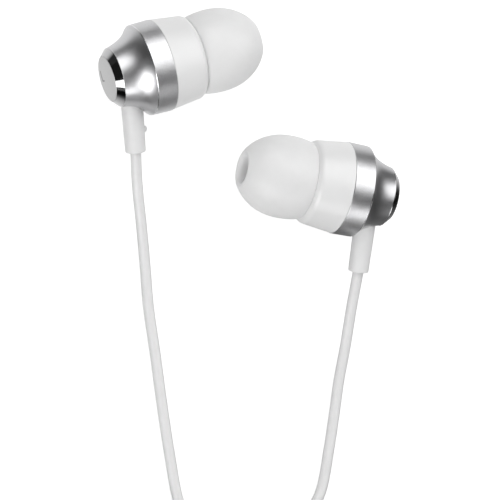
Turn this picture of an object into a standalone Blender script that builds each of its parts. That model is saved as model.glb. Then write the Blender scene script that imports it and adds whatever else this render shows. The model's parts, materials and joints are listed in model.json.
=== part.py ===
"""Wired in-ear earphones lying on a table: two buds, a Y cable put away in coils, and a jack plug.

Sizes are in millimetres, +Z is up and the table is z = 0. The origin is under the middle of the two
buds. A bud is turned about its own axis, which lies flat: height 0 is the face of its end cap, and
heights grow towards the ear tip.
"""

import math

import bmesh
import bpy
from mathutils import Matrix, Vector

MM = 0.001
WELD = 1e-7  # metres
GAP = 0.12  # between two pieces that touch
CORD_GAP = 0.3  # between a cord and what it meets

# Where the buds lie: the middle of each end cap's face, and the way that its ear tip points.
AXIS_HEIGHT = 6.81
BUDS = {
    "left": {"cap": (-21.77, 8.78), "turn": math.radians(14.7), "side": 1},
    "right": {"cap": (21.99, -8.22), "turn": math.radians(180 - 10.3), "side": -1},
}

# The bud, from its rear to its front.
CAP_FACE_RADIUS = 3.36
CHAMFER_RADIUS = 4.38
CHAMFER_HEIGHT = 0.99
SPIGOT_RADIUS = 3.35
SPIGOT_END = 1.4
RIM_HEIGHT = 5.15
RIM_RADIUS = 6.69
BAND_START = (6.75, 5.24)
BAND_END = (6.81, 8.24)
SHELL_WALL = 0.55
JOINT_RADIUS = 6.1  # of the collar that joins the two shells
FRONT_START_RADIUS = 6.76
FRONT_END = (6.18, 12.85)
FRONT_FACE = (5.5, 13.6)
NOZZLE_RADIUS = 2.25
BARB_RADIUS = 2.5
NOZZLE_BORE = 1.65
NOZZLE_END = 19.6
TIP_START = 13.75
TIP_START_RADIUS = 5.5
TIP_RADIUS = 6.1
TIP_WIDEST = 17.0
TIP_DOME_LENGTH = 7.3
TIP_MOUTH_RADIUS = 2.2
TIP_SLEEVE_RADIUS = 2.65
TIP_WALL = 0.6

# The strain relief: it crosses the bud's axis here, leans to the rear and droops to the table.
RELIEF_HEIGHT = 3.5
RELIEF_LEAN = math.radians(6)
RELIEF_DROOP = math.radians(11.3)
RELIEF_START = 3.35
RELIEF_END = 11.7
RELIEF_RADIUS = 1.6
RELIEF_END_RADIUS = 1.5
NUB_AT = 8.5

# The driver.
DRIVER_RADIUS = 5.15
YOKE_RADIUS = 3.9
VENT_RADIUS = 0.5

# The cable. Each lead and the main cord are wound as a flat spiral inwards and another, on it, outwards.
LEAD_DIAMETER = 1.6
MAIN_DIAMETER = 2.2
COIL_LIFT = 0.65  # its tie passes under it
LAYERS = 2
COILS = {
    "left_lead": {"centre": (-14.0, -68.0), "middle": 8.4, "turns": 3, "diameter": LEAD_DIAMETER},
    "right_lead": {"centre": (13.8, -68.0), "middle": 8.9, "turns": 3, "diameter": LEAD_DIAMETER},
    "main_cord": {"centre": (-7.2, -113.4), "middle": 12.0, "turns": 5, "diameter": MAIN_DIAMETER},
}
TIE_WIDTH = 3.0
TIE_THICKNESS = 0.35
TIE_ANGLES = {"left_lead": math.pi, "right_lead": 0.0, "main_cord": math.pi}

SPLITTER_X = -0.2
SPLITTER_TOP = -76.0
SPLITTER_END = -90.0
SPLITTER_HEIGHT = 2.1  # of its middle above the table

PLUG_X = 22.3
PLUG_START = -121.4
PLUG_HEIGHT = 3.3
PLUG_RELIEF_LENGTH = 9.0
PLUG_GRIP_LENGTH = 15.0
JACK_RADIUS = 1.75

# The cords' routes, in millimetres, away from their coils.
ROUTES = {
    "left_lead": [
        (-16.62, -1.94, 4.4), (-16.0, -6.7, 3.35), (-14.9, -13.0, 2.1), (-14.1, -18.6, 1.3), (-13.5, -24.1, 0.92),
        (-12.45, -30.8, 0.83), (-11.4, -38.2, 0.83), (-10.2, -45.7, 0.83), (-8.9, -52.3, 0.88), (-6.7, -57.4, 1.2),
    ],
    "right_lead": [
        (17.68, -19.33, 4.4), (17.1, -24.7, 3.2), (16.6, -30.0, 2.1), (15.9, -34.9, 1.35), (15.3, -40.0, 0.92),
        (14.5, -45.2, 0.83), (13.5, -50.4, 0.88), (12.2, -53.2, 1.0), (10.2, -55.2, 1.2),
    ],
    "left_tail": [(-1.6, -71.7, 2.1), (-1.62, -73.7, 1.9), (-1.65, -75.7, 2.1)],
    "right_tail": [(1.1, -72.2, 2.1), (1.2, -73.9, 1.9), (1.25, -75.7, 2.1)],
    "main_start": [(-0.2, -90.3, 2.1), (0.1, -92.7, 1.6), (1.0, -95.0, 1.4)],
    "main_end": [
        (12.8, -117.0, 2.6), (12.95, -119.9, 1.7), (13.1, -122.6, 1.25), (14.0, -125.3, 1.15), (16.2, -127.0, 1.15),
        (19.1, -127.0, 1.5), (21.4, -125.2, 2.4), (22.2, -122.8, 3.1), (22.3, -121.8, 3.3),
    ],
}


def clear_scene():
    for existing in list(bpy.data.objects):
        bpy.data.objects.remove(existing)


def finish(target, colour, roughness, metallic=0.0):
    """Gives the object a material of its own."""
    material = bpy.data.materials.new(target.name)
    material.use_nodes = True
    shader = material.node_tree.nodes["Principled BSDF"]
    shader.inputs["Base Color"].default_value = (*colour, 1.0)
    shader.inputs["Roughness"].default_value = roughness
    shader.inputs["Metallic"].default_value = metallic
    target.data.materials.append(material)


def placed(name, mesh, parent=None):
    """Turns a bmesh into an object, its faces pointing out."""
    bmesh.ops.recalc_face_normals(mesh, faces=mesh.faces)
    data = bpy.data.meshes.new(name)
    mesh.to_mesh(data)
    mesh.free()
    made = bpy.data.objects.new(name, data)
    bpy.context.scene.collection.objects.link(made)
    made.parent = parent
    return made


def turned(name, outline, sides, parent=None):
    """A solid of revolution about local Z. The outline's (radius, height) points close on themselves,
    or start and end on the axis."""
    mesh = bmesh.new()
    points = [mesh.verts.new((radius * MM, 0, height * MM)) for radius, height in outline]
    edges = [mesh.edges.new(pair) for pair in zip(points, points[1:])]
    if min(radius for radius, _ in outline) > 0:
        edges.append(mesh.edges.new((points[-1], points[0])))
    bmesh.ops.spin(
        mesh, geom=points + edges, cent=(0, 0, 0), axis=(0, 0, 1), angle=math.tau, steps=sides, use_merge=True
    )
    bmesh.ops.remove_doubles(mesh, verts=mesh.verts, dist=WELD)
    return placed(name, mesh, parent)


def disc(name, radius, bottom, top, sides, parent, hole=0.0):
    """A flat disc, or a washer if it has a hole."""
    return turned(name, [(hole, bottom), (radius, bottom), (radius, top), (hole, top)], sides, parent)


def skinned(name, rings, looped=False):
    """A solid whose skin runs from ring to ring, with a face on each end or, looped, back to the first."""
    mesh = bmesh.new()
    loops = [[mesh.verts.new(Vector(point) * MM) for point in ring] for ring in rings]
    pairs = list(zip(loops, loops[1:]))
    if looped:
        pairs.append((loops[-1], loops[0]))
    for first, second in pairs:
        for i in range(len(first)):
            mesh.faces.new((first[i - 1], first[i], second[i], second[i - 1]))
    if not looped:
        mesh.faces.new(loops[0])
        mesh.faces.new(loops[-1])
    return placed(name, mesh)


def rounded_rectangle(width, height, radius, steps=3):
    """Points round a rectangle with arcs for corners, about its middle."""
    points = []
    for corner in range(4):
        across = (width / 2 - radius) * (1 if corner in (0, 3) else -1)
        up = (height / 2 - radius) * (1 if corner in (0, 1) else -1)
        for step in range(steps + 1):
            angle = math.pi / 2 * (corner + step / steps)
            points.append((across + radius * math.cos(angle), up + radius * math.sin(angle)))
    return points


def bezier(start, pull, push, end, steps):
    """Points along one cubic curve, both ends included."""
    points = []
    for step in range(steps + 1):
        t = step / steps
        weights = ((1 - t) ** 3, 3 * t * (1 - t) ** 2, 3 * t * t * (1 - t), t**3)
        points.append(tuple(sum(w * p[i] for w, p in zip(weights, (start, pull, push, end))) for i in (0, 1)))
    return points


def arc(radius_at_ends, heights, steps):
    """Points of a cosine round-over between two radii and two heights."""
    (r0, r1), (h0, h1) = radius_at_ends, heights
    angles = [math.pi / 2 * step / steps for step in range(steps + 1)]
    return [(r1 + (r0 - r1) * math.cos(a), h0 + (h1 - h0) * math.sin(a)) for a in angles]


def dome(radius, length, end_radius, steps):
    """Points of an ellipse's quarter from the tip's widest place until it narrows to end_radius."""
    last = math.acos(end_radius / radius)
    angles = [last * step / steps for step in range(steps + 1)]
    return [(radius * math.cos(a), TIP_WIDEST + length * math.sin(a)) for a in angles]


def cut(target, cutter, operation="DIFFERENCE"):
    cutter.hide_render = True
    cutter.display_type = "WIRE"
    boolean = target.modifiers.new(cutter.name, "BOOLEAN")
    boolean.operation = operation
    boolean.object = cutter


def bud_frame(side_name):
    """An empty at the end cap's middle: +Z runs to the ear tip and +X points up."""
    bud = BUDS[side_name]
    forward = Vector((math.cos(bud["turn"]), math.sin(bud["turn"]), 0))
    up = Vector((0, 0, 1))
    frame = bpy.data.objects.new(side_name + "_bud", None)
    bpy.context.scene.collection.objects.link(frame)
    turn = Matrix((up, forward.cross(up), forward)).transposed()
    frame.matrix_world = Matrix.Translation(Vector((*bud["cap"], AXIS_HEIGHT)) * MM) @ turn.to_4x4()
    return frame


def relief_frame(side_name, bud):
    """An empty on the bud's axis whose +Z runs out along the strain relief."""
    flat = math.cos(RELIEF_LEAN)
    way = Vector((
        -flat * math.sin(RELIEF_DROOP),
        flat * math.cos(RELIEF_DROOP) * BUDS[side_name]["side"],
        -math.sin(RELIEF_LEAN),
    ))
    frame = bpy.data.objects.new(side_name + "_relief_axis", None)
    bpy.context.scene.collection.objects.link(frame)
    frame.parent = bud
    across = (Vector((0, 0, 1)) - way * way.z).normalized()  # as near the ear tip's way as it can be
    turn = Matrix((across, way.cross(across), way)).transposed()
    frame.matrix_local = Matrix.Translation((0, 0, RELIEF_HEIGHT * MM)) @ turn.to_4x4()
    return frame


def end_cap(side_name, bud):
    outline = [
        (0, 0),
        (CAP_FACE_RADIUS, 0),
        (CHAMFER_RADIUS, CHAMFER_HEIGHT),
        (SPIGOT_RADIUS, CHAMFER_HEIGHT),
        (SPIGOT_RADIUS, SPIGOT_END),
        (0, SPIGOT_END),
    ]
    finish(turned(side_name + "_end_cap", outline, 28, bud), (0.5, 0.5, 0.5), 0.3, metallic=1.0)


def rear_housing(side_name, bud, relief_axis):
    """The metal trumpet, its band, and the hole that the strain relief comes out of."""
    start = CHAMFER_HEIGHT + GAP
    outside = bezier((CHAMFER_RADIUS, start), (4.8, 2.8), (5.3, 4.1), (RIM_RADIUS, RIM_HEIGHT), 8)
    inner_band = BAND_END[0] - SHELL_WALL
    inside = bezier(
        (inner_band, RIM_HEIGHT + SHELL_WALL), (4.9, 4.75), (4.25, 3.3), (CHAMFER_RADIUS - SHELL_WALL, start), 7
    )
    outline = outside + [BAND_START, BAND_END, (inner_band, BAND_END[1])] + inside
    shell = turned(side_name + "_rear_housing", outline, 28, bud)
    finish(shell, (0.6, 0.6, 0.61), 0.3, metallic=1.0)
    hole = disc(side_name + "_relief_hole", RELIEF_RADIUS + GAP, 2.0, 9.0, 16, relief_axis)
    cut(shell, hole)


def front_housing(side_name, bud):
    """The white shell: a collar inside the metal band, the body, its front face and the nozzle."""
    chamber = DRIVER_RADIUS + 0.2
    shelf = 11.75
    step = BAND_END[1] + GAP
    outline = [
        (JOINT_RADIUS, 7.0),
        (JOINT_RADIUS, step),
        (FRONT_START_RADIUS, step),
        FRONT_END,
        *arc((FRONT_END[0] - 0.02, FRONT_FACE[0]), (FRONT_END[1] + 0.1, FRONT_FACE[1]), 3),
        (NOZZLE_RADIUS, FRONT_FACE[1]),
        (NOZZLE_RADIUS, 18.0),
        (BARB_RADIUS, 18.4),
        (NOZZLE_RADIUS - 0.1, NOZZLE_END),
        (NOZZLE_BORE, NOZZLE_END),
        (NOZZLE_BORE, 13.0),
        (3.0, 12.6),
        (4.7, 12.4),
        (4.7, shelf),
        (chamber, shelf),
        (chamber, 7.0),
    ]
    finish(turned(side_name + "_front_housing", outline, 28, bud), (0.8, 0.8, 0.8), 0.25)


def ear_tip(side_name, bud):
    """A silicone mushroom: a domed skirt, open to the rear, round a sleeve that grips the nozzle."""
    rear = (TIP_START_RADIUS, TIP_START)
    swell = bezier(rear, (5.8, 14.1), (TIP_RADIUS, 15.3), (TIP_RADIUS, TIP_WIDEST), 3)
    outside = dome(TIP_RADIUS, TIP_DOME_LENGTH, 2.75, 9)[1:]
    inner = TIP_RADIUS - TIP_WALL
    sleeve_outside = 3.5
    inside = dome(inner, 5.6, sleeve_outside, 4)[::-1]
    outline = [
        *swell,
        *outside,
        (2.4, 23.72),
        (TIP_MOUTH_RADIUS, 23.65),
        (TIP_MOUTH_RADIUS - 0.2, 22.8),
        (TIP_MOUTH_RADIUS - 0.2, 20.4),
        (TIP_SLEEVE_RADIUS, 20.0),
        (TIP_SLEEVE_RADIUS, 14.4),
        (sleeve_outside, 14.4),
        *inside,
        (TIP_START_RADIUS - 0.5, TIP_START),
    ]
    finish(turned(side_name + "_ear_tip", outline, 28, bud), (0.78, 0.78, 0.78), 0.5)


def nozzle_parts(side_name, bud):
    radius = NOZZLE_BORE - GAP
    plate = disc(side_name + "_nozzle_mesh", radius, 19.1, 19.4, 16, bud)
    finish(plate, (0.5, 0.5, 0.5), 0.35, metallic=1.0)
    for number in range(6):
        around = Matrix.Rotation(math.tau * number / 6, 4, "Z") @ Matrix.Translation((0.95 * MM, 0, 0))
        hole = disc(f"{side_name}_mesh_hole_{number}", 0.24, 18.9, 19.6, 6, bud)
        hole.matrix_local = around
        cut(plate, hole)
    finish(disc(side_name + "_nozzle_damper", radius, 16.6, 17.4, 16, bud), (0.1, 0.1, 0.1), 0.9)


def driver(side_name, bud):
    """A moving-coil driver, from its terminal board at the rear to its diaphragm and gasket in front."""
    frame = [
        (DRIVER_RADIUS, 8.6),
        (DRIVER_RADIUS, 11.3),
        (4.85, 11.3),
        (4.85, 10.8),
        (YOKE_RADIUS + 0.15, 10.8),
        (YOKE_RADIUS + 0.15, 8.6),
    ]
    finish(turned(side_name + "_driver_frame", frame, 20, bud), (0.08, 0.08, 0.09), 0.5)
    yoke = [
        (VENT_RADIUS, 8.3),
        (YOKE_RADIUS, 8.3),
        (YOKE_RADIUS, 10.5),
        (3.45, 10.5),
        (3.45, 8.8),
        (VENT_RADIUS, 8.8),
    ]
    finish(turned(side_name + "_driver_yoke", yoke, 20, bud), (0.45, 0.45, 0.45), 0.35, metallic=1.0)
    magnet = disc(side_name + "_driver_magnet", 2.55, 8.8 + GAP, 10.0, 20, bud, VENT_RADIUS)
    finish(magnet, (0.3, 0.3, 0.32), 0.3, metallic=1.0)
    pole = disc(side_name + "_pole_plate", 2.7, 10.0 + GAP, 10.5, 20, bud, VENT_RADIUS)
    finish(pole, (0.45, 0.45, 0.45), 0.35, metallic=1.0)
    coil = disc(side_name + "_voice_coil", 3.2, 9.75, 11.05, 20, bud, 2.95)
    finish(coil, (0.7, 0.32, 0.14), 0.35, metallic=1.0)
    diaphragm = [
        (0, 11.7), (1.6, 11.55), (3.0, 11.17), (3.3, 11.17), (3.95, 11.4), (4.6, 11.2),
        (4.6, 11.32), (3.95, 11.52), (3.3, 11.29), (3.0, 11.29), (1.6, 11.67), (0, 11.82),
    ]
    finish(turned(side_name + "_diaphragm", diaphragm, 20, bud), (0.75, 0.7, 0.55), 0.3)
    gasket = disc(side_name + "_driver_gasket", DRIVER_RADIUS, 11.3 + GAP, 11.63, 20, bud, 4.85)
    finish(gasket, (0.05, 0.05, 0.05), 0.8)
    board = disc(side_name + "_terminal_board", 3.6, 7.55, 7.95, 20, bud, 1.3)
    finish(board, (0.05, 0.25, 0.1), 0.5)
    finish(disc(side_name + "_rear_damper", 1.1, 7.6, 8.15, 12, bud), (0.85, 0.85, 0.8), 0.9)


def strain_relief(side_name, relief_axis):
    chamfer = 0.2
    outline = [
        (0, RELIEF_START),
        (RELIEF_RADIUS, RELIEF_START),
        (RELIEF_RADIUS, 5.5),
        (RELIEF_END_RADIUS, RELIEF_END - chamfer),
        (RELIEF_END_RADIUS - chamfer, RELIEF_END),
        (0, RELIEF_END),
    ]
    relief = turned(side_name + "_strain_relief", outline, 16, relief_axis)
    finish(relief, (0.75, 0.75, 0.75), 0.4)
    if side_name == "left":
        nub = turned("left_nub", [(0, -0.5), (0.3, -0.35), (0.42, 0), (0.3, 0.35), (0, 0.5)], 8, relief_axis)
        nub.location = (1.6 * MM, 0, NUB_AT * MM)
        cut(relief, nub, "UNION")
    anchor = [(0, 1.2), (1.1, 1.2), (1.1, 2.0), (0.7, 2.3), (0.7, 3.1), (0, 3.1)]
    finish(turned(side_name + "_cord_anchor", anchor, 12, relief_axis), (0.6, 0.6, 0.6), 0.5)


def smooth(points, spacing):
    """Evenly spaced points along the Catmull-Rom curve through the route's points."""
    route = [Vector(point) for point in points]
    route = [route[0] * 2 - route[1], *route, route[-1] * 2 - route[-2]]
    fine = []
    for before, start, end, after in zip(route, route[1:], route[2:], route[3:]):
        for step in range(20):
            t = step / 20
            fine.append(
                start
                + (end - before) * (t / 2)
                + (before * 2 - start * 5 + end * 4 - after) * (t * t / 2)
                + (start * 3 - before - end * 3 + after) * (t**3 / 2)
            )
    fine.append(route[-2])
    lengths = [0.0]
    for start, end in zip(fine, fine[1:]):
        lengths.append(lengths[-1] + (end - start).length)
    count = max(2, round(lengths[-1] / spacing))
    spaced, at = [], 0
    for number in range(count + 1):
        wanted = lengths[-1] * number / count
        while at < len(fine) - 2 and lengths[at + 1] < wanted:
            at += 1
        share = (wanted - lengths[at]) / (lengths[at + 1] - lengths[at])
        spaced.append(fine[at].lerp(fine[at + 1], min(share, 1.0)))
    return spaced


def cord(name, route, diameter):
    points = smooth(ROUTES[route], 2 * diameter)
    data = bpy.data.curves.new(name, "CURVE")
    data.dimensions = "3D"
    data.bevel_depth = diameter / 2 * MM
    data.bevel_resolution = 2
    data.use_fill_caps = True
    spline = data.splines.new("POLY")
    spline.points.add(len(points) - 1)
    for knot, point in zip(spline.points, points):
        knot.co = (*(point * MM), 1)
    made = bpy.data.objects.new(name, data)
    bpy.context.scene.collection.objects.link(made)
    finish(made, (0.75, 0.75, 0.75), 0.45)


def coil_section(name):
    """The ring that a coil's turns fill: its inner and outer radius, and its height."""
    coil = COILS[name]
    half_width = (coil["turns"] + 1) * coil["diameter"] / 2 + 0.1
    return coil["middle"] - half_width, coil["middle"] + half_width, LAYERS * coil["diameter"] + 0.1


def coil(name):
    inner, outer, height = coil_section(name)
    edge = 0.4
    outline = [
        (inner, edge), (inner + edge, 0), (outer - edge, 0), (outer, edge),
        (outer, height - edge), (outer - edge, height), (inner + edge, height), (inner, height - edge),
    ]
    ring = turned(name + "_coil", outline, 28)
    ring.location = Vector((*COILS[name]["centre"], COIL_LIFT)) * MM
    finish(ring, (0.75, 0.75, 0.75), 0.45)


def coil_tie(name):
    """A strap round the coil's bundle. It lies on the table, under the coil."""
    inner, outer, height = coil_section(name)
    width = outer - inner + 2 * CORD_GAP + 2 * TIE_THICKNESS + 0.3
    tall = COIL_LIFT + height + CORD_GAP + TIE_THICKNESS
    hole = (width - 2 * TIE_THICKNESS, tall - 2 * TIE_THICKNESS, 0.5)
    rings = []
    for depth, size in ((-1, (width, tall, 0.8)), (1, (width, tall, 0.8)), (1, hole), (-1, hole)):
        rings.append([(x, depth * TIE_WIDTH / 2, z) for x, z in rounded_rectangle(*size, steps=2)])
    strap = skinned(name + "_tie", rings, looped=True)
    angle = TIE_ANGLES[name]
    out = Vector((math.cos(angle), math.sin(angle), 0)) * ((inner + outer) / 2 - 0.15)
    strap.location = (Vector((*COILS[name]["centre"], tall / 2)) + out) * MM
    strap.rotation_euler.z = angle
    finish(strap, (0.78, 0.78, 0.78), 0.5)


def y_splitter():
    """A flattened drop, wide where the two leads go in and narrow where the main cord comes out."""
    sections = [
        (SPLITTER_TOP, 5.8, 3.4), (SPLITTER_TOP - 0.5, 6.6, 4.2), (SPLITTER_TOP - 5.0, 6.4, 4.2),
        (SPLITTER_TOP - 8.5, 5.2, 4.0), (SPLITTER_END + 0.4, 4.0, 3.4), (SPLITTER_END, 3.4, 2.8),
    ]
    rings = [
        [(SPLITTER_X + x, y, SPLITTER_HEIGHT + z) for x, z in rounded_rectangle(wide, tall, 1.3)]
        for y, wide, tall in sections
    ]
    finish(skinned("y_splitter", rings), (0.78, 0.78, 0.78), 0.35)


def plug():
    """The jack plug, lying along +Y from its strain relief to its tip."""
    axis = bpy.data.objects.new("plug_axis", None)
    bpy.context.scene.collection.objects.link(axis)
    axis.location = Vector((PLUG_X, PLUG_START, PLUG_HEIGHT)) * MM
    axis.rotation_euler.x = -math.pi / 2
    grip_start = PLUG_RELIEF_LENGTH + GAP
    face = grip_start + PLUG_GRIP_LENGTH
    relief = [(0, 0), (1.6, 0), (1.8, 0.3), (2.3, PLUG_RELIEF_LENGTH - 0.6), (2.3, PLUG_RELIEF_LENGTH)]
    finish(turned("plug_strain_relief", relief + [(0, PLUG_RELIEF_LENGTH)], 16, axis), (0.75, 0.75, 0.75), 0.4)
    grip = [(0, grip_start), (2.6, grip_start), (3.0, grip_start + 0.5), (3.3, grip_start + 5), (3.3, face - 1)]
    finish(turned("plug_grip", grip + [(2.8, face), (0, face)], 24, axis), (0.78, 0.78, 0.78), 0.3)
    insulator = JACK_RADIUS - 0.08
    pieces = {
        "plug_sleeve": [(0, 0), (2.3, 0), (2.3, 0.4), (JACK_RADIUS, 0.4), (JACK_RADIUS, 6.4), (0, 6.4)],
        "plug_insulator_rear": [(0, 6.4), (insulator, 6.4), (insulator, 7.1), (0, 7.1)],
        "plug_ring": [(0, 7.1), (JACK_RADIUS, 7.1), (JACK_RADIUS, 9.1), (0, 9.1)],
        "plug_insulator_front": [(0, 9.1), (insulator, 9.1), (insulator, 9.8), (0, 9.8)],
        "plug_tip": [(0, 9.8), (JACK_RADIUS, 9.8), (1.2, 11.1), (1.6, 12.0), (1.5, 12.5), (0.5, 14.0), (0, 14.0)],
    }
    for number, (name, outline) in enumerate(pieces.items()):
        start = face + GAP + number * 0.1
        piece = turned(name, [(radius, start + height) for radius, height in outline], 16, axis)
        if "insulator" in name:
            finish(piece, (0.03, 0.03, 0.03), 0.4)
        else:
            finish(piece, (0.75, 0.68, 0.5), 0.15, metallic=1.0)


def main():
    clear_scene()
    for side_name in BUDS:
        bud = bud_frame(side_name)
        relief_axis = relief_frame(side_name, bud)
        end_cap(side_name, bud)
        rear_housing(side_name, bud, relief_axis)
        front_housing(side_name, bud)
        ear_tip(side_name, bud)
        nozzle_parts(side_name, bud)
        driver(side_name, bud)
        strain_relief(side_name, relief_axis)
        cord(side_name + "_lead", side_name + "_lead", LEAD_DIAMETER)
        cord(side_name + "_lead_tail", side_name + "_tail", LEAD_DIAMETER)
    for name in COILS:
        coil(name)
        coil_tie(name)
    y_splitter()
    cord("main_cord_start", "main_start", MAIN_DIAMETER)
    cord("main_cord_end", "main_end", MAIN_DIAMETER)
    plug()


main()
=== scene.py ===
"""The looks of wired earphones: satin metal and white shells, silicone tips and the cable at its real length.

Lengths here are in millimetres, turned to metres by MM where an object is made. A bud's pieces are turned
about its own axis: height 0 is the face of its end cap, and heights grow towards the ear tip.
"""

import json
import math

import bmesh
import bpy
from mathutils import Matrix, Vector


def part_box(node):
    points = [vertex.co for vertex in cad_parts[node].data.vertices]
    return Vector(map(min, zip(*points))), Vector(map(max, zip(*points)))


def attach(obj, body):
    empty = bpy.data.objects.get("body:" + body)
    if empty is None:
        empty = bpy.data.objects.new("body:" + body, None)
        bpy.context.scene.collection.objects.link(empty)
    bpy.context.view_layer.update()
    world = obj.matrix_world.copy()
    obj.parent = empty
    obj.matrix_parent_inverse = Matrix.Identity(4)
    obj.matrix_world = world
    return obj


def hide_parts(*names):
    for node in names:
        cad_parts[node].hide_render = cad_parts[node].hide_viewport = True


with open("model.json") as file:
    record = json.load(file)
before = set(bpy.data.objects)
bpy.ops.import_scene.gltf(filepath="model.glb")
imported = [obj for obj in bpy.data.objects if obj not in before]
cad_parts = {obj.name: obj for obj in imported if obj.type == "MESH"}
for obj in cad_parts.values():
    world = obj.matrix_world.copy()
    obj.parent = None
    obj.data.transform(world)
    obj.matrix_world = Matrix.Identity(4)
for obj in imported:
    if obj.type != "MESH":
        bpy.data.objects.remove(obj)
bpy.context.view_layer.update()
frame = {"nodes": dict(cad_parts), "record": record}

MM = 0.001
ROOT = "earphones"
SEGMENTS = 96

# The view: almost straight down, tilted to the left, through a long lens.
VIEW_CENTRE = (2.5, -15.88, 0.0)
VIEW_WIDTH = 73.2
VIEW_TILT = math.radians(19.5)
VIEW_DISTANCE = 1000.0

# How the floor glows in reflections, a painted pool of light: full near the buds, fading with the distance
# from the middle, where distance along Y counts for less, and fading towards the front.
FLOOR_FADE = (29 * MM, 48 * MM)
FLOOR_FAR = 0.04
FLOOR_FRONT = (-20 * MM, 5 * MM)
FLOOR_FRONT_DIM = 0.12
FLOOR_STRETCH = (1, 0.6, 0)

# The softboxes: name, azimuth and elevation in degrees, size, radiance, and whether it only shows in
# reflections. All stand at one distance from the buds.
LIGHT_DISTANCE = 500
SOFTBOXES = (
    ("back", 65, 51, (860, 400), 1.9, False),
    ("left", -138, 18, (270, 230), 4.5, False),
    ("front", -92, 20, (230, 200), 2.0, False),
    ("back_mirrored", 63, 53, (1340, 520), 2.2, True),
    ("left_mirrored", -134, 28, (380, 360), 3.8, True),
    ("front_mirrored", -82, 28, (250, 190), 2.7, True),
)

# The cable. Each lead's route starts after its strain relief, where the cord has come out. A coil has this
# many turns in each of its two layers, and three numbers: its radius at the middle of the turns, and the
# angles in degrees where the cord enters and leaves it.
LEAD_DIAMETER = 1.6
MAIN_DIAMETER = 2.2
TURN_STEP = math.radians(9)
LEAD_TURNS = 3
MAIN_TURNS = 5
COILS = {"left": (8.4, 22, 10), "right": (8.9, 38, 10), "main": (12.0, 35, 10)}
ROUTES = {
    "left_lead": [
        (-16.0, -6.7, 3.35), (-14.9, -13.0, 2.1), (-14.1, -18.6, 1.3), (-13.5, -24.1, 0.92),
        (-12.45, -30.8, 0.83), (-11.4, -38.2, 0.83), (-10.2, -45.7, 0.83), (-8.9, -52.3, 0.88),
        (-6.7, -57.4, 1.2),
    ],
    "right_lead": [
        (17.1, -24.7, 3.2), (16.6, -30.0, 2.1), (15.9, -34.9, 1.35), (15.3, -40.0, 0.92), (14.5, -45.2, 0.83),
        (13.5, -50.4, 0.88), (12.2, -53.2, 1.0), (10.2, -55.2, 1.2),
    ],
    "left_tail": [(-1.6, -71.7, 2.1), (-1.62, -73.7, 1.9), (-1.65, -75.7, 2.1), (-1.65, -77.0, 2.1)],
    "right_tail": [(1.1, -72.2, 2.1), (1.2, -73.9, 1.9), (1.25, -75.7, 2.1), (1.25, -77.0, 2.1)],
    "main_start": [(-0.2, -89.0, 2.1), (-0.2, -90.3, 2.1), (0.1, -92.7, 1.6), (1.0, -95.0, 1.4)],
    "main_end": [
        (12.8, -117.0, 2.6), (12.95, -119.9, 1.7), (13.1, -122.6, 1.25), (14.0, -125.3, 1.15),
        (16.2, -127.0, 1.15), (19.1, -127.0, 1.5), (21.4, -125.2, 2.4), (22.2, -122.8, 3.1),
        (22.3, -121.8, 3.3), (22.3, -120.4, 3.3),
    ],
}


# ---------------------------------------------------------------------------------------------- places


def middle_of(node):
    low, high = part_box(node)
    return (Vector(low) + Vector(high)) / 2


def bud_matrix(side_name):
    """The bud's own frame: +Z runs to the ear tip, +X points up, and the origin is the end cap's middle."""
    mount = next(m for m in frame["record"]["mounts"] if m["name"] == side_name + "_cap_face")
    forward = -Vector(mount["axis"]).normalized()
    up = Vector((0, 0, 1))
    turn = Matrix((up, forward.cross(up), forward)).transposed()
    return Matrix.Translation(Vector(mount["pos_m"])) @ turn.to_4x4()


RELIEF_HEIGHT = 3.5
RELIEF_LEAN = math.radians(6)
RELIEF_DROOP = math.radians(11.3)
RELIEF_END = 11.7
NUB_AT = (1.6, 0, 8.5)


def relief_matrix(side_name):
    """The strain relief's own frame: +Z runs out along it from the bud's axis, +X leans to the ear tip."""
    bud = bud_matrix(side_name)
    to_relief = (middle_of(side_name + "_strain_relief") - bud.translation).dot(bud.col[1].to_3d())
    flat = math.cos(RELIEF_LEAN)
    way = Vector((
        -flat * math.sin(RELIEF_DROOP),
        flat * math.cos(RELIEF_DROOP) * math.copysign(1, to_relief),
        -math.sin(RELIEF_LEAN),
    ))
    across = (Vector((0, 0, 1)) - way * way.z).normalized()
    turn = Matrix((across, way.cross(across), way)).transposed()
    return bud @ Matrix.Translation((0, 0, RELIEF_HEIGHT * MM)) @ turn.to_4x4()


# ---------------------------------------------------------------------------------------------- materials


def principled(name, colour, roughness, metallic=0.0, **sockets):
    """A material with a Principled shader, and the sockets named by keyword set on it."""
    made = bpy.data.materials.new(name)
    made.use_nodes = True
    shader = made.node_tree.nodes["Principled BSDF"]
    shader.inputs["Base Color"].default_value = (*colour, 1)
    shader.inputs["Roughness"].default_value = roughness
    shader.inputs["Metallic"].default_value = metallic
    for socket, value in sockets.items():
        shader.inputs[socket.replace("_", " ").title().replace("Ior", "IOR")].default_value = value
    return made


def noise(made, size, detail=2.0):
    """A noise texture whose grains are about size millimetres across."""
    nodes, links = made.node_tree.nodes, made.node_tree.links
    place = nodes.new("ShaderNodeTexCoord")
    texture = nodes.new("ShaderNodeTexNoise")
    texture.inputs["Scale"].default_value = 1 / (size * MM)
    texture.inputs["Detail"].default_value = detail
    links.new(place.outputs["Object"], texture.inputs["Vector"])
    return texture.outputs["Fac"]


def spread(made, fac, low, high):
    """Maps a factor from 0.3..0.7, where noise mostly lies, to low..high."""
    mapped = made.node_tree.nodes.new("ShaderNodeMapRange")
    for socket, value in zip(("From Min", "From Max", "To Min", "To Max"), (0.3, 0.7, low, high)):
        mapped.inputs[socket].default_value = value
    made.node_tree.links.new(fac, mapped.inputs["Value"])
    return mapped.outputs["Result"]


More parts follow.
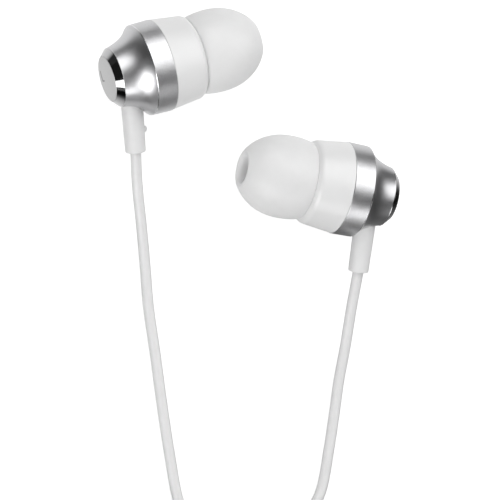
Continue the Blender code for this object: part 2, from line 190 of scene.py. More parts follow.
def vary_colour(made, fac, amount):
    """Lightens and darkens the base colour by that share, following the factor."""
    nodes, links = made.node_tree.nodes, made.node_tree.links
    base = nodes["Principled BSDF"].inputs["Base Color"]
    colour = Vector(base.default_value[:3])
    mix = nodes.new("ShaderNodeMix")
    mix.data_type = "RGBA"
    mix.inputs[6].default_value = (*(colour * (1 - amount)), 1)
    mix.inputs[7].default_value = (*(min(c * (1 + amount), 1) for c in colour), 1)
    links.new(spread(made, fac, 0, 1), mix.inputs[0])
    links.new(mix.outputs[2], base)


def vary_roughness(made, fac, amount):
    socket = made.node_tree.nodes["Principled BSDF"].inputs["Roughness"]
    middle = socket.default_value
    made.node_tree.links.new(spread(made, fac, max(middle - amount, 0.02), min(middle + amount, 1)), socket)


def bump(made, fac, depth, strength=1.0):
    """Raises the surface by up to depth millimetres, on top of any bump that is there."""
    nodes, links = made.node_tree.nodes, made.node_tree.links
    normal = nodes["Principled BSDF"].inputs["Normal"]
    raised = nodes.new("ShaderNodeBump")
    raised.inputs["Strength"].default_value = strength
    raised.inputs["Distance"].default_value = depth * MM
    links.new(fac, raised.inputs["Height"])
    if normal.links:
        links.new(normal.links[0].from_socket, raised.inputs["Normal"])
    links.new(raised.outputs["Normal"], normal)


def satin_metal(name, roughness, grain_size, grain_depth):
    """Bead-blasted aluminium: fine pits that sparkle, over a slow change of sheen."""
    made = principled(name, (0.62, 0.62, 0.63), roughness, 1.0)
    pits = noise(made, grain_size, 3)
    vary_colour(made, pits, 0.06)
    vary_roughness(made, noise(made, 2.5), 0.02)
    bump(made, pits, grain_depth)
    return made


def cap_metal():
    """The end cap's face: a flatter, duller blast than the shell's."""
    made = principled("cap_metal", (0.56, 0.56, 0.56), 0.45, 1.0)
    pits = noise(made, 0.12, 3)
    vary_colour(made, pits, 0.05)
    bump(made, pits, 0.002)
    return made


def polished_chamfer():
    """Diamond-cut metal, with fine noise in its gloss and surface."""
    made = principled("polished_chamfer", (0.5, 0.5, 0.505), 0.07, 1.0)
    vary_roughness(made, noise(made, 0.8), 0.03)
    bump(made, noise(made, 0.05, 1), 0.0002)
    return made


def bright_edge():
    made = principled("bright_edge", (0.75, 0.75, 0.76), 0.2, 1.0)
    vary_roughness(made, noise(made, 0.5), 0.04)
    return made


def white_shell():
    """Moulded white plastic, half gloss, with the faintest orange peel."""
    made = principled("white_shell", (0.8, 0.8, 0.8), 0.34, ior=1.5)
    vary_colour(made, noise(made, 3.0), 0.01)
    vary_roughness(made, noise(made, 1.2), 0.04)
    bump(made, noise(made, 0.5), 0.0012)
    return made


def silicone():
    """Matt translucent silicone with a soft skin that scatters light."""
    made = principled(
        "silicone", (0.8, 0.8, 0.8), 0.45, ior=1.41, subsurface_weight=0.35, subsurface_scale=1.0 * MM,
        subsurface_radius=(1, 1, 1),
    )
    vary_colour(made, noise(made, 2.0), 0.012)
    vary_roughness(made, noise(made, 0.6), 0.05)
    bump(made, noise(made, 0.12, 3), 0.002)
    return made


def elastomer(name, shade, roughness):
    """Soft white rubber with a fine matt skin, for the cord and the strain reliefs."""
    made = principled(name, (shade, shade, shade), roughness, ior=1.47, subsurface_weight=0.1,
                      subsurface_scale=0.4 * MM, subsurface_radius=(1, 1, 1))
    vary_colour(made, noise(made, 1.5), 0.015)
    vary_roughness(made, noise(made, 0.4), 0.05)
    bump(made, noise(made, 0.15, 3), 0.002)
    return made


def plain(name, colour, roughness, metallic=0.0, grain=0.3, amount=0.08, depth=0.002):
    """A finish for the pieces inside: its colour and gloss broken up by one grain."""
    made = principled(name, colour, roughness, metallic)
    grains = noise(made, grain, 3)
    vary_colour(made, grains, amount)
    vary_roughness(made, grains, 0.06)
    bump(made, grains, depth)
    return made


def woven_mesh():
    """Stainless mesh: round holes in rows across the disc, painted near black as painted shade for the dark
    seen through them.
    """
    made = principled("woven_mesh", (0.45, 0.45, 0.46), 0.35, 1.0)
    nodes, links = made.node_tree.nodes, made.node_tree.links
    place = nodes.new("ShaderNodeTexCoord")
    cells = nodes.new("ShaderNodeTexVoronoi")
    cells.inputs["Scale"].default_value = 1 / (0.28 * MM)
    cells.inputs["Randomness"].default_value = 0.0
    links.new(place.outputs["Object"], cells.inputs["Vector"])
    holes_with_painted_shade = nodes.new("ShaderNodeMapRange")
    for socket, value in zip(("From Min", "From Max", "To Min", "To Max"), (0.28, 0.36, 0, 1)):
        holes_with_painted_shade.inputs[socket].default_value = value
    links.new(cells.outputs["Distance"], holes_with_painted_shade.inputs["Value"])
    mix = nodes.new("ShaderNodeMix")
    mix.data_type = "RGBA"
    # Painted shade: the holes take near black in place of the dark behind the mesh, and a bump sinks them in.
    mix.inputs[6].default_value = (0.01, 0.01, 0.01, 1)
    mix.inputs[7].default_value = (0.45, 0.45, 0.46, 1)
    links.new(holes_with_painted_shade.outputs["Result"], mix.inputs[0])
    links.new(mix.outputs[2], nodes["Principled BSDF"].inputs["Base Color"])
    bump(made, holes_with_painted_shade.outputs["Result"], 0.05)
    return made


# ---------------------------------------------------------------------------------------------- shapes


def rounded(corners, steps=5):
    """An outline with its corners filleted. A corner is (radius, height) or (radius, height, fillet). A point
    just past each fillet keeps the straight stretches shaded straight."""
    points = []
    for before, corner, after in zip(corners[-1:] + corners[:-1], corners, corners[1:] + corners[:1]):
        here = Vector(corner[:2])
        if len(corner) == 2:
            points.append(tuple(here))
            continue
        back, on = (Vector(before[:2]) - here).normalized(), (Vector(after[:2]) - here).normalized()
        half = back.angle(on) / 2
        reach = corner[2] / math.tan(half)
        centre = here + (back + on).normalized() * (corner[2] / math.sin(half))
        first, last = here + back * reach - centre, here + on * reach - centre
        swing = first.angle_signed(last)
        points.append(tuple(here + back * (reach + 0.02)))
        for step in range(steps + 1):
            points.append(tuple(centre + Matrix.Rotation(-swing * step / steps, 2) @ first))
        points.append(tuple(here + on * (reach + 0.02)))
    return points


def bezier(start, pull, push, end, steps):
    points = []
    for step in range(steps + 1):
        t = step / steps
        weights = ((1 - t) ** 3, 3 * t * (1 - t) ** 2, 3 * t * t * (1 - t), t**3)
        points.append(tuple(sum(w * p[i] for w, p in zip(weights, (start, pull, push, end))) for i in (0, 1)))
    return points


def dome(radius, centre, length, end_radius, steps):
    """Points of an ellipse's quarter from its widest place until it narrows to end_radius."""
    last = math.acos(end_radius / radius)
    angles = [last * step / steps for step in range(steps + 1)]
    return [(radius * math.cos(a), centre + length * math.sin(a)) for a in angles]


def shaded(name, mesh, place, material, sharp=32):
    """Turns a bmesh in millimetres into a smooth-shaded object at that place."""
    bmesh.ops.recalc_face_normals(mesh, faces=mesh.faces)
    mesh.transform(Matrix.Scale(MM, 4))
    data = bpy.data.meshes.new(name)
    mesh.to_mesh(data)
    mesh.free()
    data.shade_smooth()
    data.set_sharp_from_angle(angle=math.radians(sharp))
    data.materials.append(material)
    made = bpy.data.objects.new(name, data)
    bpy.context.scene.collection.objects.link(made)
    made.matrix_world = place
    return made


def turned(name, outline, place, material, segments=SEGMENTS, sharp=32):
    """A solid of revolution about local Z. The outline closes on itself, or starts and ends on the axis."""
    mesh = bmesh.new()
    ways = [(math.cos(a), math.sin(a)) for a in (math.tau * step / segments for step in range(segments))]
    rings = []
    for radius, height in outline:
        if radius > 1e-6:
            rings.append([mesh.verts.new((radius * x, radius * y, height)) for x, y in ways])
        else:
            rings.append([mesh.verts.new((0, 0, height))] * segments)
    closing = rings[:1] if min(radius for radius, _ in outline) > 1e-6 else []
    for first, second in zip(rings, rings[1:] + closing):
        for i in range(segments):
            mesh.faces.new(tuple(dict.fromkeys((first[i - 1], first[i], second[i], second[i - 1]))))
    bmesh.ops.remove_doubles(mesh, verts=mesh.verts, dist=1e-5)
    return shaded(name, mesh, place, material, sharp)


def rounded_rectangle(width, height, radius, steps=8):
    points = []
    for corner in range(4):
        across = (width / 2 - radius) * (1 if corner in (0, 3) else -1)
        up = (height / 2 - radius) * (1 if corner in (0, 1) else -1)
        for step in range(steps + 1):
            angle = math.pi / 2 * (corner + step / steps)
            points.append((across + radius * math.cos(angle), up + radius * math.sin(angle)))
    return points


def skinned(name, rings, place, material, looped=False, sharp=40):
    """A skin from ring to ring, with a face on each end or, looped, back to the first."""
    mesh = bmesh.new()
    loops = [[mesh.verts.new(point) for point in ring] for ring in rings]
    pairs = list(zip(loops, loops[1:])) + ([(loops[-1], loops[0])] if looped else [])
    for first, second in pairs:
        for i in range(len(first)):
            mesh.faces.new((first[i - 1], first[i], second[i], second[i - 1]))
    if not looped:
        mesh.faces.new(loops[0])
        mesh.faces.new(loops[-1])
    return shaded(name, mesh, place, material, sharp)


def cut(target, cutter, operation="DIFFERENCE"):
    """Applies one Boolean and removes its cutter."""
    boolean = target.modifiers.new("cut", "BOOLEAN")
    boolean.object, boolean.operation, boolean.solver = cutter, operation, "EXACT"
    bpy.context.view_layer.update()
    graph = bpy.context.evaluated_depsgraph_get()
    result = bpy.data.meshes.new_from_object(target.evaluated_get(graph))
    target.modifiers.clear()
    target.data = result
    bpy.data.objects.remove(cutter)
    result.shade_smooth()
    result.set_sharp_from_angle(angle=math.radians(32))


def stands_for(piece, body, slot, *nodes):
    """The piece rides on a body and replaces these CAD nodes, which are hidden. The slot is not used."""
    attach(piece, body)
    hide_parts(*nodes)


# ---------------------------------------------------------------------------------------------- studio


def camera():
    made = bpy.data.objects.new("camera", bpy.data.cameras.new("camera"))
    bpy.context.scene.collection.objects.link(made)
    away = Vector((-math.sin(VIEW_TILT), 0, math.cos(VIEW_TILT)))
    right = Vector((math.cos(VIEW_TILT), 0, math.sin(VIEW_TILT)))
    turn = Matrix((right, Vector((0, 1, 0)), away)).transposed()
    place = (Vector(VIEW_CENTRE) + away * VIEW_DISTANCE) * MM
    made.matrix_world = Matrix.Translation(place) @ turn.to_4x4()
    made.data.sensor_width = 36
    made.data.lens = 36 * VIEW_DISTANCE / VIEW_WIDTH
    made.data.clip_start, made.data.clip_end = 0.01, 10
    bpy.context.scene.camera = made


def softbox(name, azimuth, elevation, size, radiance, mirrored):
    """A rectangular light that faces the middle of the buds, for matt surfaces or, mirrored, for reflections.
    Its azimuth runs from +X to +Y."""
    light = bpy.data.lights.new(name, "AREA")
    light.shape = "RECTANGLE"
    light.size, light.size_y = size[0] * MM, size[1] * MM
    light.energy = radiance * math.pi * light.size * light.size_y
    made = bpy.data.objects.new(name, light)
    bpy.context.scene.collection.objects.link(made)
    azimuth, elevation = math.radians(azimuth), math.radians(elevation)
    flat = math.cos(elevation)
    way = Vector((flat * math.cos(azimuth), flat * math.sin(azimuth), math.sin(elevation)))
    made.location = way * LIGHT_DISTANCE * MM
    made.rotation_euler = way.to_track_quat("Z", "Y").to_euler()
    made.visible_diffuse, made.visible_glossy = not mirrored, mirrored


def mixed(nodes, links, factor, first, second):
    """A colour that goes from first to second as the factor goes from 0 to 1."""
    mix = nodes.new("ShaderNodeMix")
    mix.data_type = "RGBA"
    for socket, value in ((mix.inputs[6], first), (mix.inputs[7], second)):
        if isinstance(value, bpy.types.NodeSocket):
            links.new(value, socket)
        else:
            socket.default_value = (value, value, value, 1)
    links.new(factor, mix.inputs[0])
    return mix.outputs[2]


def faded(nodes, links, value, source, target):
    """The value carried smoothly from one range to another."""
    fade = nodes.new("ShaderNodeMapRange")
    fade.interpolation_type = "SMOOTHSTEP"
    for socket, end in zip(("From Min", "From Max", "To Min", "To Max"), (*source, *target)):
        fade.inputs[socket].default_value = end
    links.new(value, fade.inputs["Value"])
    return fade.outputs["Result"]


def surroundings():
    """Pale all round, but in reflections dark to the left and right, as in a studio hung with black cloth."""
    world = bpy.data.worlds.new("studio")
    world.use_nodes = True
    bpy.context.scene.world = world
    nodes, links = world.node_tree.nodes, world.node_tree.links
    kind = nodes.new("ShaderNodeLightPath")
    place = nodes.new("ShaderNodeTexCoord")
    parts = nodes.new("ShaderNodeSeparateXYZ")
    links.new(place.outputs["Generated"], parts.inputs[0])
    reach = nodes.new("ShaderNodeMath")
    reach.operation = "ABSOLUTE"
    links.new(parts.outputs["Y"], reach.inputs[0])
    mirrored = faded(nodes, links, reach.outputs["Value"], (0.45, 1.0), (0.015, 0.25))
    lit = mixed(nodes, links, kind.outputs["Is Glossy Ray"], 0.42, mirrored)
    shown = mixed(nodes, links, kind.outputs["Is Camera Ray"], lit, 0.95)
    links.new(shown, nodes["Background"].inputs["Color"])


def floor():
    """A white table top that glows: evenly to the camera, faintly onto the buds, and in reflections as a
    painted pool of light that darkens towards the front and away from the buds.
    """
    mesh = bmesh.new()
    bmesh.ops.create_grid(mesh, x_segments=1, y_segments=1, size=3000)
    made_of = principled("pale_floor", (0.5, 0.5, 0.5), 0.9, specular_ior_level=0.0)
    nodes, links = made_of.node_tree.nodes, made_of.node_tree.links
    shader = nodes["Principled BSDF"]
    vary_colour(made_of, noise(made_of, 40), 0.01)
    kind = nodes.new("ShaderNodeLightPath")
    # Painted light: the floor glows 0.75 to the camera, which keeps it evenly white, and 0.1 to other rays,
    # which lights the buds from below.
    shader.inputs["Emission Strength"].default_value = 1
    links.new(mixed(nodes, links, kind.outputs["Is Camera Ray"], 0.1, 0.75), shader.inputs["Emission Color"])
    place = nodes.new("ShaderNodeTexCoord")
    squeezed = nodes.new("ShaderNodeVectorMath")
    squeezed.operation = "MULTIPLY"
    squeezed.inputs[1].default_value = FLOOR_STRETCH
    links.new(place.outputs["Object"], squeezed.inputs[0])
    away = nodes.new("ShaderNodeVectorMath")
    away.operation = "LENGTH"
    links.new(squeezed.outputs["Vector"], away.inputs[0])
    parts = nodes.new("ShaderNodeSeparateXYZ")
    links.new(place.outputs["Object"], parts.inputs[0])
    both = nodes.new("ShaderNodeMath")
    both.operation = "MULTIPLY"
    spread_out = faded(nodes, links, away.outputs["Value"], FLOOR_FADE, (1.0, FLOOR_FAR))
    forward = faded(nodes, links, parts.outputs["Y"], FLOOR_FRONT, (FLOOR_FRONT_DIM, 1.0))
    links.new(spread_out, both.inputs[0])
    links.new(forward, both.inputs[1])
    # Painted light: reflections see only this glow, full near the buds and fading with distance and towards
    # the front.
    mirrored = nodes.new("ShaderNodeEmission")
    links.new(both.outputs["Value"], mirrored.inputs["Strength"])
    mix = nodes.new("ShaderNodeMixShader")
    links.new(kind.outputs["Is Glossy Ray"], mix.inputs[0])
    links.new(shader.outputs[0], mix.inputs[1])
    links.new(mirrored.outputs[0], mix.inputs[2])
    links.new(mix.outputs[0], nodes["Material Output"].inputs["Surface"])
    shaded("pale_floor", mesh, Matrix.Translation((0, 0, -0.00002)), made_of)


def studio():
    bpy.context.scene.view_settings.view_transform = "Standard"
    surroundings()
    floor()
    for light in SOFTBOXES:
        softbox(*light)


# ---------------------------------------------------------------------------------------------- cords


def smooth(points, spacing):
    """Evenly spaced points along the Catmull-Rom curve through the route's points."""
    route = [Vector(point) for point in points]
    route = [route[0] * 2 - route[1], *route, route[-1] * 2 - route[-2]]
    fine = []
    for before, start, end, after in zip(route, route[1:], route[2:], route[3:]):
        for step in range(20):
            t = step / 20
            fine.append(
                start
                + (end - before) * (t / 2)
                + (before * 2 - start * 5 + end * 4 - after) * (t * t / 2)
                + (start * 3 - before - end * 3 + after) * (t**3 / 2)
            )
    fine.append(route[-2])
    spaced = [fine[0]]
    for point in fine[1:]:
        if (point - spaced[-1]).length >= spacing:
            spaced.append(point)
    if (spaced[-1] - fine[-1]).length > spacing / 3:
        spaced.append(fine[-1])
    else:
        spaced[-1] = fine[-1]
    return spaced


def coil_turns(node, diameter, turns, clockwise, middle, enter, leave):
    """One flat spiral inwards at the bottom, then one outwards on top of it. Angles are degrees from +X
    for a clockwise coil, and mirrored from -X for the other."""
    low, high = (Vector(corner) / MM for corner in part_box(node))
    centre = (low + high) / 2
    half = turns * diameter / 2
    bottom = low.z + 0.05 + diameter / 2
    start, end = math.radians(enter), math.radians(leave) - math.tau * 2 * turns
    count = round((start - end) / TURN_STEP)
    points = []
    for number in range(count + 1):
        share = number / count
        angle = start + (end - start) * share
        inwards = 1 - abs(2 * share - 1)
        radius = middle + half - 2 * half * inwards
        climb = min(max((share - 0.5) * count * TURN_STEP / math.radians(60) + 0.5, 0), 1)
        height = bottom + diameter * climb * climb * (3 - 2 * climb)
        across = math.cos(angle) * (1 if clockwise else -1)
        points.append(Vector((centre.x + radius * across, centre.y + radius * math.sin(angle), height)))
    return points


def cord_curve(name, points, diameter, material):
    data = bpy.data.curves.new(name, "CURVE")
    data.dimensions = "3D"
    data.bevel_depth = diameter / 2 * MM
    data.bevel_resolution = 5
    data.use_fill_caps = True
    spline = data.splines.new("POLY")
    spline.points.add(len(points) - 1)
    for knot, point in zip(spline.points, points):
        knot.co = (*(point * MM), 1)
    spline.use_smooth = True
    data.materials.append(material)
    made = bpy.data.objects.new(name, data)
    bpy.context.scene.collection.objects.link(made)
    return made


def lead(side_name, material, strap_material):
    coil_node = side_name + "_lead_coil"
    relief = relief_matrix(side_name)
    inside = relief @ Vector((0, 0, (RELIEF_END - 1.5) * MM)) / MM
    exit_point = relief @ Vector((0, 0, RELIEF_END * MM))
    route = [inside, exit_point / MM, *ROUTES[side_name + "_lead"]]
    turns = coil_turns(coil_node, LEAD_DIAMETER, LEAD_TURNS, side_name == "left", *COILS[side_name])
    coil_tie(side_name + "_lead", turns, LEAD_DIAMETER, strap_material)
    path = smooth([*route, *turns[::3], *turns[-1:], *ROUTES[side_name + "_tail"]], 0.5)
    made = cord_curve(side_name + "_cord", path, LEAD_DIAMETER, material)
    nodes = (side_name + "_lead", coil_node, side_name + "_lead_tail")
    stands_for(made, ROOT, "cord_jacket", *nodes)
    return made


def main_cord(material, strap_material):
    turns = coil_turns("main_cord_coil", MAIN_DIAMETER, MAIN_TURNS, True, *COILS["main"])
    coil_tie("main_cord", turns, MAIN_DIAMETER, strap_material)
    path = smooth([*ROUTES["main_start"], *turns[::3], *turns[-1:], *ROUTES["main_end"]], 0.7)
    made = cord_curve("main_cord", path, MAIN_DIAMETER, material)
    stands_for(made, ROOT, "cord_jacket", "main_cord_start", "main_cord_coil", "main_cord_end")


def coil_tie(name, turns, diameter, material):
    """A soft strap hugging the bundle where the turns cross the tie's place. Its corners are round."""
    low, high = (Vector(corner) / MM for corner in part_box(name + "_tie"))
    middle, depth = (low + high) / 2, high.y - low.y
    held = [point for point in turns if abs(point.y - middle.y) < depth / 2 and low.x < point.x < high.x]
    first, last = (Vector((pick(p.x for p in held), pick(p.z for p in held))) for pick in (min, max))
    centre, span = (first + last) / 2, last - first
    rings = []
    for share, gap, corner in ((-1, 0.62, 1.3), (-0.97, 0.67, 1.3), (0.97, 0.67, 1.3), (1, 0.62, 1.3),
                               (1, 0.02, 0.7), (-1, 0.02, 0.7)):
        reach = diameter + 2 * gap
        outline = rounded_rectangle(span.x + reach, span.y + reach, corner)
        at = middle.y + share * (depth / 2 - 0.02)
        rings.append([(centre.x + x, at, centre.y + z) for x, z in outline])
    strap = skinned(name + "_strap", rings, Matrix.Identity(4), material, looped=True)
    stands_for(strap, ROOT, "tie_plastic", name + "_tie")


# ---------------------------------------------------------------------------------------------- fittings


def y_splitter(material):
    """A flattened drop with a rounded rim at each end."""
    low, high = (Vector(corner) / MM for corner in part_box("y_splitter"))
    middle, size = (low + high) / 2, high - low
    rings = []
    for share, wide, tall in (
        (0.0, 0.84, 0.78), (0.012, 0.92, 0.9), (0.04, 0.985, 0.985), (0.1, 1, 1), (0.25, 0.99, 1),
        (0.36, 0.965, 1), (0.5, 0.87, 0.985), (0.62, 0.775, 0.95), (0.8, 0.66, 0.87),
        (0.93, 0.585, 0.8), (0.975, 0.55, 0.76), (1.0, 0.5, 0.66),
    ):
        outline = rounded_rectangle(size.x * wide, size.z * tall * 0.995, 1.3 * min(wide, tall))
        rings.append([(middle.x + x, high.y - share * size.y, middle.z + z) for x, z in outline])
    made = skinned("splitter_shell", rings, Matrix.Identity(4), material)
    stands_for(made, ROOT, "plug_plastic", "y_splitter")
    return made


def plug_matrix():
    low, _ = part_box("plug_strain_relief")
    grip = middle_of("plug_grip")
    turn = Matrix.Rotation(-math.pi / 2, 4, "X")
    return Matrix.Translation((grip.x, low[1], grip.z)) @ turn


def plug(relief_material, shell_material, contact_material, dark_material):
    """The jack plug: a ribbed strain relief, a grip with finger grooves, and three plated contacts."""
    place = plug_matrix()
    start = place.translation.y / MM
    pieces = []

    def span(node):
        low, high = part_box(node)
        return low[1] / MM - start, high[1] / MM - start

    def piece(name, node, slot, outline, material, **more):
        made = turned(name, outline, place, material, **more)
        stands_for(made, ROOT, slot, node)
        pieces.append(made)

    _, end = span("plug_strain_relief")
    outline = [(0, 0), (1.55, 0)]
    ribs = 6
    for rib in range(ribs):
        at, radius = 0.3 + rib * 1.25, 1.7 + 0.1 * rib
        outline += [(radius, at), (radius, at + 0.85), (radius - 0.35, at + 0.95), (radius - 0.35, at + 1.15)]
    outline += [(2.28, end - 0.7), (2.28, end), (0, end)]
    piece("plug_relief_sleeve", "plug_strain_relief", "relief_rubber", outline, relief_material)

    low, high = span("plug_grip")
    outline = [(0, low), *rounded([(0, low), (2.6, low, 0.25), (3.05, low + 0.6, 0.4), (3.3, low + 5)])[1:]]
    for groove in range(4):
        at = low + 6.2 + groove * 1.3
        outline += [(3.28, at), (3.18, at + 0.12), (3.12, at + 0.3), (3.18, at + 0.48), (3.28, at + 0.6)]
    outline += rounded([(3.28, high - 3), (3.28, high - 1, 0.4), (2.85, high, 0.2), (0, high)])
    piece("plug_grip_shell", "plug_grip", "plug_plastic", outline, shell_material, sharp=50)

    low, high = span("plug_sleeve")
    collar = rounded([(0, low), (2.28, low, 0.05), (2.28, low + 0.4, 0.1), (1.75, low + 0.4)])
    outline = [(0, low), *collar[1:]]
    outline += [(1.75, high - 0.05), (1.7, high), (0, high)]
    piece("plug_sleeve_contact", "plug_sleeve", "plated_contact", outline, contact_material)
    for node in ("plug_insulator_rear", "plug_insulator_front"):
        low, high = span(node)
        low, high = low - 0.08, high + 0.08
        outline = [(0, low), (1.66, low), (1.66, high), (0, high)]
        piece(node + "_ring", node, "insulator", outline, dark_material)
    low, high = span("plug_ring")
    outline = [(0, low), (1.7, low), (1.75, low + 0.05), (1.75, high - 0.05), (1.7, high), (0, high)]
    piece("plug_ring_contact", "plug_ring", "plated_contact", outline, contact_material)
    low, high = span("plug_tip")
    outline = [(0, low), (1.7, low), (1.75, low + 0.08)]
    outline += bezier((1.75, low + 0.3), (1.6, low + 0.7), (1.2, low + 1.0), (1.18, low + 1.3), 6)
    outline += bezier((1.18, low + 1.3), (1.2, low + 1.6), (1.6, low + 1.8), (1.6, low + 2.2), 6)[1:]
    outline += bezier((1.6, low + 2.2), (1.58, low + 2.8), (0.9, high - 0.3), (0.4, high - 0.05), 8)[1:]
    outline += [(0, high)]
    piece("plug_tip_contact", "plug_tip", "plated_contact", outline, contact_material, sharp=50)
    return pieces


# ---------------------------------------------------------------------------------------------- buds


def stroke(points, width):
    """The outline of a thin line through two or more points, its ends square."""
    line = [Vector(point) for point in points]
    sides = []
    ahead = [*line[1:], line[-1] * 2 - line[-2]]
    for before, here, after in zip([line[0] * 2 - line[1], *line], line, ahead):
        along = ((here - before).normalized() + (after - here).normalized()).normalized()
        reach = width / 2 / max(along.dot((after - here).normalized()), 0.3)
        sides.append(Vector((-along.y, along.x)) * reach)
    return [p + s for p, s in zip(line, sides)], [p - s for p, s in zip(line, sides)]


LETTER_STROKE = 0.16
LETTER_FACE = 0.002
SIDE_LETTERS = {
    "left": [[(0.75, 0.0), (-0.75, 0.0), (-0.75, 0.8)]],
    "right": [
        [(-0.75, 0.0), (0.75, 0.0), (0.75, 0.42), (0.65, 0.62), (0.45, 0.72), (0.22, 0.7), (0.05, 0.58),
         (0.0, 0.4), (0.0, 0.0)],
        [(0.0, 0.38), (-0.75, 0.78)],
    ],
}
LETTER_AT = {"left": (-2.25, -0.51), "right": (2.25, 0.51)}


def side_letter(side_name, place, material):
    """The side's letter, raised by a hair on the cap's face and read from behind the bud."""
    mesh = bmesh.new()
    middle, way = Vector(LETTER_AT[side_name]), 1 if side_name == "left" else -1
    for line in SIDE_LETTERS[side_name]:
        first, second = stroke(line, LETTER_STROKE)
        rings = []
        for one, other in zip(first, second):
            section = ((one, LETTER_FACE), (other, LETTER_FACE), (other, 0.1), (one, 0.1))
            rings.append([
                mesh.verts.new((middle.x + way * point.y, middle.y - way * point.x, height))
                for point, height in section
            ])
        for ring, following in zip(rings, rings[1:]):
            for i in range(4):
                mesh.faces.new((ring[i - 1], ring[i], following[i], following[i - 1]))
        mesh.faces.new(rings[0])
        mesh.faces.new(rings[-1])
    made = shaded(side_name + "_letter", mesh, place, material)
    stands_for(made, ROOT, "satin_aluminium", side_name + "_end_cap")


def end_cap(side_name, place, face_material, chamfer_material, mark_material):
    """The cap's satin face, the polished chamfer round it, and the side's letter."""
    side_letter(side_name, place, mark_material)
    node = side_name + "_end_cap"
    outline = [(0, 0.012), (3.3, 0.012), (3.33, 0.05), (3.33, 0.4), (0, 0.4)]
    face = turned(side_name + "_cap_face", outline, place, face_material)
    stands_for(face, ROOT, "satin_aluminium", node)
    outline = rounded([
        (3.34, 0.35), (3.34, 0.0, 0.03), (4.38, 1.02, 0.06), (4.33, 1.14), (3.35, 1.14), (3.35, 1.4),
        (2.9, 1.4),
    ])
    ring = turned(side_name + "_cap_chamfer", outline, place, chamfer_material)
    stands_for(ring, ROOT, "satin_aluminium", node)


def rear_shell(side_name, place, relief_place, flare_material, band_material, edge_material):
    """The trumpet, the blasted band and the bright line between them. The strain relief's hole is cut in."""
    node = side_name + "_rear_housing"
    start = 1.08
    outside = bezier((4.35, start), (4.8, 2.8), (5.3, 4.1), (6.68, 5.14), 40)
    inside = bezier((6.2, 5.7), (4.9, 4.75), (4.25, 3.3), (3.82, start), 24)
    flare = turned(side_name + "_flare", outside + [(6.5, 5.4), (6.3, 5.7)] + inside, place, flare_material)
    hole = turned("relief_hole", [(0, 2), (1.68, 2), (1.68, 9), (0, 9)], relief_place, flare_material, 64)
    cut(flare, hole)
    stands_for(flare, ROOT, "satin_aluminium", node)
    line = rounded([(6.68, 5.16), (6.75, 5.23, 0.02), (6.75, 5.29), (6.5, 5.29), (6.5, 5.19)])
    edge = turned(side_name + "_rim_line", line, place, edge_material)
    stands_for(edge, ROOT, "satin_aluminium", node)
    outline = rounded([(6.75, 5.27), (6.81, 8.24, 0.08), (6.26, 8.24), (6.26, 5.27)])
    band = turned(side_name + "_band", outline, place, band_material)
    stands_for(band, ROOT, "satin_aluminium", node)


def front_shell(side_name, place, material):
    """The white shell with its soft shoulder, and the barbed nozzle that the tip grips."""
    outline = rounded([
        (6.1, 7.0), (6.1, 8.26), (6.76, 8.26, 0.06), (6.17, 13.1, 1.0), (5.45, 13.61, 0.25),
        (2.25, 13.61, 0.2), (2.25, 18.0, 0.2), (2.5, 18.35, 0.12), (2.12, 19.55, 0.1),
        (1.68, 19.55, 0.08), (1.68, 13.0), (3.0, 12.6), (4.7, 12.4), (4.7, 11.75), (5.35, 11.75),
        (5.35, 7.0),
    ], steps=8)
    made = turned(side_name + "_front_shell", outline, place, material)
    stands_for(made, ROOT, "white_shell", side_name + "_front_housing")


def ear_tip(side_name, place, material):
    """The silicone mushroom: a domed skirt with a rolled rear lip, round a sleeve on the nozzle."""
    swell = bezier((5.66, 13.78), (5.9, 14.3), (6.1, 15.3), (6.1, 17.0), 16)
    outside = dome(6.1, 17.0, 7.25, 2.95, 44)[1:]
    mouth = bezier(outside[-1], (2.68, 23.6), (2.2, 23.62), (2.0, 22.8), 12)[1:]
    inside = dome(5.5, 17.0, 5.6, 3.5, 14)[::-1]
    lip = bezier((4.95, 14.0), (5.02, 13.55), (5.5, 13.47), swell[0], 8)[1:-1]
    outline = [
        *swell, *outside, *mouth, (2.0, 20.4), (2.65, 20.0), (2.65, 14.4), (3.45, 14.4), (3.5, 14.5),
        *inside, *lip,
    ]
    made = turned(side_name + "_silicone_tip", outline, place, material, sharp=50)
    stands_for(made, side_name + "_tip", "silicone", side_name + "_ear_tip")


def nozzle_screen(side_name, place, material):
    outline = [(0, 19.12), (1.5, 19.12), (1.52, 19.2), (1.52, 19.4), (0, 19.4)]
    made = turned(side_name + "_screen", outline, place, material, 48)
    stands_for(made, ROOT, "steel_mesh", side_name + "_nozzle_mesh")


def strain_relief(side_name, place, material):
    """The tapered sleeve that the cord comes out of. Only the left one has a small nub, to tell the sides."""
    outline = rounded([
        (0, 3.4), (1.6, 3.4), (1.6, 5.4, 2.0), (1.5, RELIEF_END, 0.22), (0.86, RELIEF_END, 0.05),
        (0.82, RELIEF_END - 1.0), (0, RELIEF_END - 1.0),
    ])
    made = turned(side_name + "_relief", outline, place, material, 64)
    if side_name == "left":
        bead = [(0, -0.5), (0.24, -0.42), (0.38, -0.2), (0.42, 0), (0.38, 0.2), (0.24, 0.42), (0, 0.5)]
        nub_place = place @ Matrix.Translation(Vector(NUB_AT) * MM)
        nub = turned("nub", bead, nub_place, material, 24)
        cut(made, nub, "UNION")
    stands_for(made, ROOT, "relief_rubber", side_name + "_strain_relief")


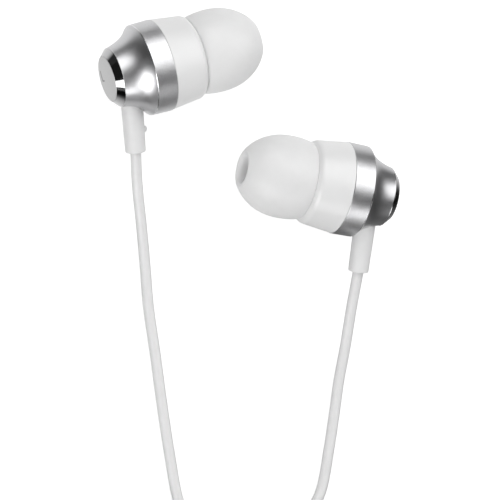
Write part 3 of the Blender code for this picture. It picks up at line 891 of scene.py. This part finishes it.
INNER_FINISHES = {
    "black_foam": ((0.03, 0.03, 0.03), 0.95, 0.0, 0.15, 0.5, 0.05),
    "damper_felt": ((0.8, 0.8, 0.75), 0.95, 0.0, 0.1, 0.15, 0.03),
    "driver_plastic": ((0.05, 0.05, 0.055), 0.45, 0.0, 0.4, 0.1, 0.003),
    "gasket_rubber": ((0.03, 0.03, 0.03), 0.8, 0.0, 0.2, 0.2, 0.004),
    "plated_steel": ((0.5, 0.5, 0.5), 0.35, 1.0, 0.3, 0.06, 0.001),
    "magnet": ((0.55, 0.54, 0.52), 0.2, 1.0, 0.5, 0.05, 0.0005),
    "copper": ((0.75, 0.3, 0.12), 0.35, 1.0, 0.06, 0.2, 0.01),
    "film": ((0.75, 0.68, 0.5), 0.3, 0.0, 0.6, 0.08, 0.002),
    "board": ((0.03, 0.2, 0.07), 0.4, 0.0, 0.3, 0.15, 0.004),
    "anchor_plastic": ((0.7, 0.7, 0.7), 0.5, 0.0, 0.3, 0.05, 0.002),
}


def inner_pieces():
    """The CAD nodes inside the buds keep their shapes and take a finish each."""
    finishes = {slot: plain(slot, *values) for slot, values in INNER_FINISHES.items()}
    for entry in frame["record"]["subparts"]:
        made_of = finishes.get(entry["material_slot"])
        if made_of:
            data = frame["nodes"][entry["node"]].data
            data.materials.clear()
            data.materials.append(made_of)


def main():
    studio()
    camera()
    jacket = elastomer("cord_jacket", 0.78, 0.4)
    relief = elastomer("relief_rubber", 0.78, 0.5)
    plastic = white_shell()
    splitter = y_splitter(plastic)
    plug_pieces = plug(relief, plastic, plain("plating", (0.83, 0.72, 0.48), 0.15, 1.0, 0.5, 0.03, 0.0005),
                       plain("insulator", (0.02, 0.02, 0.02), 0.35))
    strap = elastomer("strap_rubber", 0.7, 0.5)
    lead("left", jacket, strap)
    lead("right", jacket, strap)
    main_cord(jacket, strap)

    flare = satin_metal("flare_metal", 0.36, 0.1, 0.0015)
    band = satin_metal("band_metal", 0.37, 0.17, 0.024)
    cap, chamfer, edge, tip, screen = cap_metal(), polished_chamfer(), bright_edge(), silicone(), woven_mesh()
    mark = plain("laser_mark", (0.09, 0.09, 0.09), 0.5, 0.0, 0.2, 0.1, 0.001)
    for side_name in ("left", "right"):
        place, relief_place = bud_matrix(side_name), relief_matrix(side_name)
        end_cap(side_name, place, cap, chamfer, mark)
        rear_shell(side_name, place, relief_place, flare, band, edge)
        front_shell(side_name, place, plastic)
        ear_tip(side_name, place, tip)
        nozzle_screen(side_name, place, screen)
        strain_relief(side_name, relief_place, relief)
    inner_pieces()


main()
